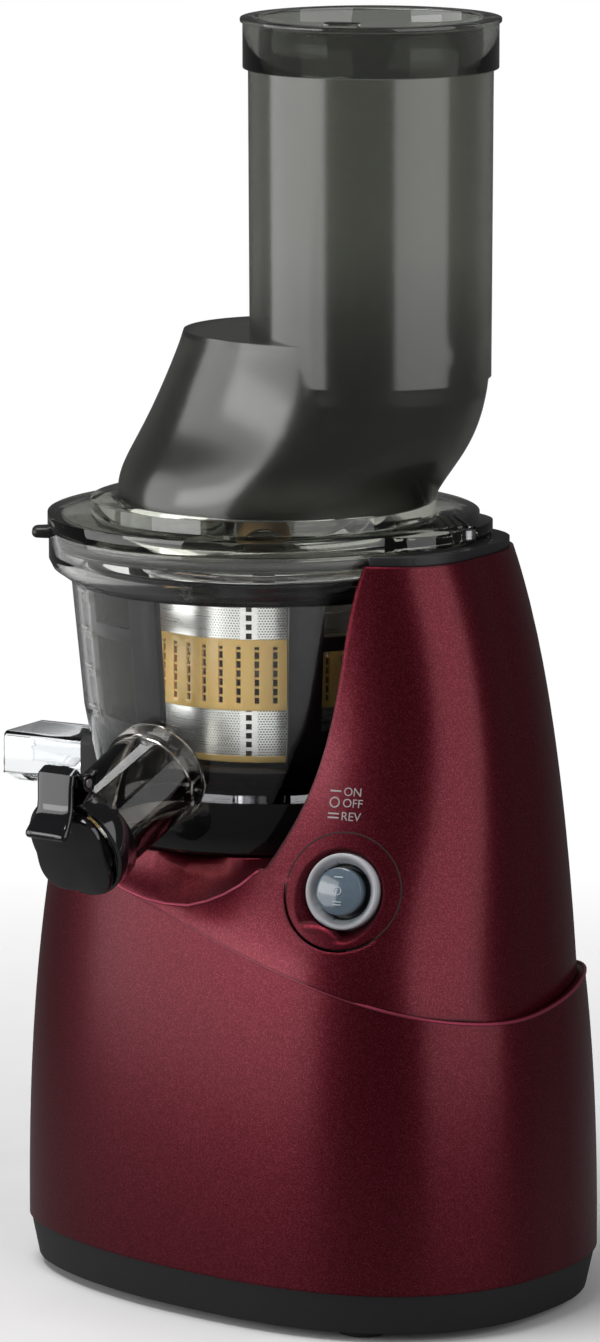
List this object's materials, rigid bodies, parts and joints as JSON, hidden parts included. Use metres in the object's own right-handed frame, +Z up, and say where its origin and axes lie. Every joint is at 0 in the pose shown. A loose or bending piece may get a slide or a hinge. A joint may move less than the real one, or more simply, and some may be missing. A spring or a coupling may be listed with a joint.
{
  "type": "cold press juicer",
  "caption": "Upright slow juicer: a tapered motor base with a rocker switch carries a clear juicing bowl with a spout, a pulp outlet and a tall wide feed chute.",
  "frame": {"origin": "middle of the whole footprint, on the plane that the feet stand on", "axes": "+Z up, front with the switch and the juice spout towards -Y, the tower to the right (+X)"},
  "size_m": [0.2256, 0.2004, 0.4503],
  "materials": {
    "housing_paint": "satin burgundy metallic",
    "black_satin": "satin black",
    "black_gloss": "polished black",
    "smoke_clear": "transparent dark smoke grey",
    "bowl_clear": "transparent pale smoke",
    "clear": "transparent colourless",
    "amber": "translucent amber",
    "screen_steel": "perforated",
    "motor_steel": "zinc plated",
    "lamination": "varnished",
    "bearing_steel": "ground",
    "bronze": "sintered",
    "cast_zinc": "as cast",
    "gear_white": "moulded",
    "auger_resin": "moulded dark brown",
    "rubber_black": "matte",
    "silicone_pale": "translucent pale",
    "rocker_blue": "polished blue grey",
    "board_green": "coated",
    "magnet": "plated"
  },
  "bodies": {
    "base": {"lower_housing": "housing_paint", "upper_housing": "housing_paint", "tower_liner": "black_satin", "tower_top_plate": "black_satin", "bottom_plate": "black_satin", "housing_screws": "motor_steel", "cord_gland": "rubber_black", "motor_can": "motor_steel", "motor_end_cap": "motor_steel", "motor_bearings": "bearing_steel", "stator": "lamination", "gearbox_case": "cast_zinc", "ring_gear": "gear_white", "gearbox_cover": "cast_zinc", "gearbox_frame": "cast_zinc", "gearbox_screws": "motor_steel", "output_bush": "bronze", "shaft_seal": "rubber_black", "control_board": "board_green", "interlock_sensor": "black_satin", "switch_bezel": "silicone_pale", "switch_body": "black_satin", "foot_front_right": "rubber_black", "foot_front_left": "rubber_black", "foot_back_left": "rubber_black", "foot_back_right": "rubber_black"},
    "rocker": {"rocker_button": "rocker_blue"},
    "drive": {"planet_carrier": "motor_steel", "drive_shaft": "bearing_steel"},
    "rotor": {"motor_rotor": "lamination", "motor_shaft": "bearing_steel"},
    "planet_1": {"planet_gear_1": "gear_white"},
    "planet_2": {"planet_gear_2": "gear_white"},
    "planet_3": {"planet_gear_3": "gear_white"},
    "bowl": {"bowl": "bowl_clear", "bowl_base": "black_gloss", "pulp_outlet": "clear", "pulp_gasket": "rubber_black", "juice_nozzle": "bowl_clear", "nozzle_ring": "black_gloss", "cap_pin": "motor_steel", "strainer_floor": "amber", "strainer_screen_lower": "screen_steel", "strainer_band": "amber", "strainer_screen_upper": "screen_steel", "strainer_rim": "bowl_clear"},
    "auger": {"auger": "auger_resin", "auger_gear": "gear_white"},
    "idler": {"idler_gear": "gear_white"},
    "brush": {"brush_holder": "black_gloss", "wiper_blades": "rubber_black"},
    "lid_bush": {"lid_bush": "bronze"},
    "lid": {"lid": "smoke_clear", "feed_chute": "smoke_clear", "lid_magnet": "magnet", "lid_gasket": "silicone_pale", "chute_collar": "smoke_clear", "rim_latch": "smoke_clear"},
    "cap": {"cap_flap": "black_gloss", "cap_seal": "silicone_pale"}
  },
  "joints": [
    {"name": "rocker_tilt", "type": "hinge", "parent": "base", "child": "rocker", "pos_m": [0.05522, -0.03878, 0.15427], "axis": [0.9903, 0.1392, 0], "range_deg": [-8, 8]},
    {"name": "drive_spin", "type": "hinge", "parent": "base", "child": "drive", "pos_m": [-0.0133, 0.0239, 0.1], "axis": [0, 0, 1], "continuous": true},
    {"name": "motor_spin", "type": "hinge", "parent": "base", "child": "rotor", "pos_m": [-0.0133, 0.0239, 0.06], "axis": [0, 0, 1], "continuous": true},
    {"name": "planet_1_spin", "type": "hinge", "parent": "drive", "child": "planet_1", "pos_m": [0.0107, 0.0239, 0.1], "axis": [0, 0, 1], "continuous": true},
    {"name": "planet_2_spin", "type": "hinge", "parent": "drive", "child": "planet_2", "pos_m": [-0.0253, 0.04469, 0.1], "axis": [0, 0, 1], "continuous": true},
    {"name": "planet_3_spin", "type": "hinge", "parent": "drive", "child": "planet_3", "pos_m": [-0.0253, 0.00312, 0.1], "axis": [0, 0, 1], "continuous": true},
    {"name": "bowl_lift", "type": "slide", "parent": "base", "child": "bowl", "axis": [0, 0, 1], "range_m": [0, 0.13]},
    {"name": "auger_spin", "type": "hinge", "parent": "bowl", "child": "auger", "pos_m": [-0.0133, 0.0239, 0.2], "axis": [0, 0, 1], "continuous": true},
    {"name": "idler_spin", "type": "hinge", "parent": "bowl", "child": "idler", "pos_m": [0.0092, 0.0239, 0.186], "axis": [0, 0, 1], "continuous": true},
    {"name": "brush_spin", "type": "hinge", "parent": "bowl", "child": "brush", "pos_m": [-0.0133, 0.0239, 0.21], "axis": [0, 0, 1], "continuous": true},
    {"name": "lid_lift", "type": "slide", "parent": "bowl", "child": "lid_bush", "axis": [0, 0, 1], "range_m": [0, 0.06]},
    {"name": "lid_turn", "type": "hinge", "parent": "lid_bush", "child": "lid", "pos_m": [-0.0133, 0.0239, 0.265], "axis": [0, 0, 1], "range_deg": [0, 25]},
    {"name": "cap_open", "type": "hinge", "parent": "bowl", "child": "cap", "pos_m": [-0.02655, -0.08402, 0.19267], "axis": [-0.9925, 0.1219, 0], "range_deg": [0, 100]}
  ],
  "couplings": [
    {"joint": "motor_spin", "follows": "drive_spin", "ratio": 4},
    {"joint": "planet_1_spin", "follows": "drive_spin", "ratio": -3},
    {"joint": "planet_2_spin", "follows": "drive_spin", "ratio": -3},
    {"joint": "planet_3_spin", "follows": "drive_spin", "ratio": -3},
    {"joint": "auger_spin", "follows": "drive_spin", "ratio": 1},
    {"joint": "idler_spin", "follows": "drive_spin", "ratio": -1},
    {"joint": "brush_spin", "follows": "drive_spin", "ratio": -0.33333}
  ]
}
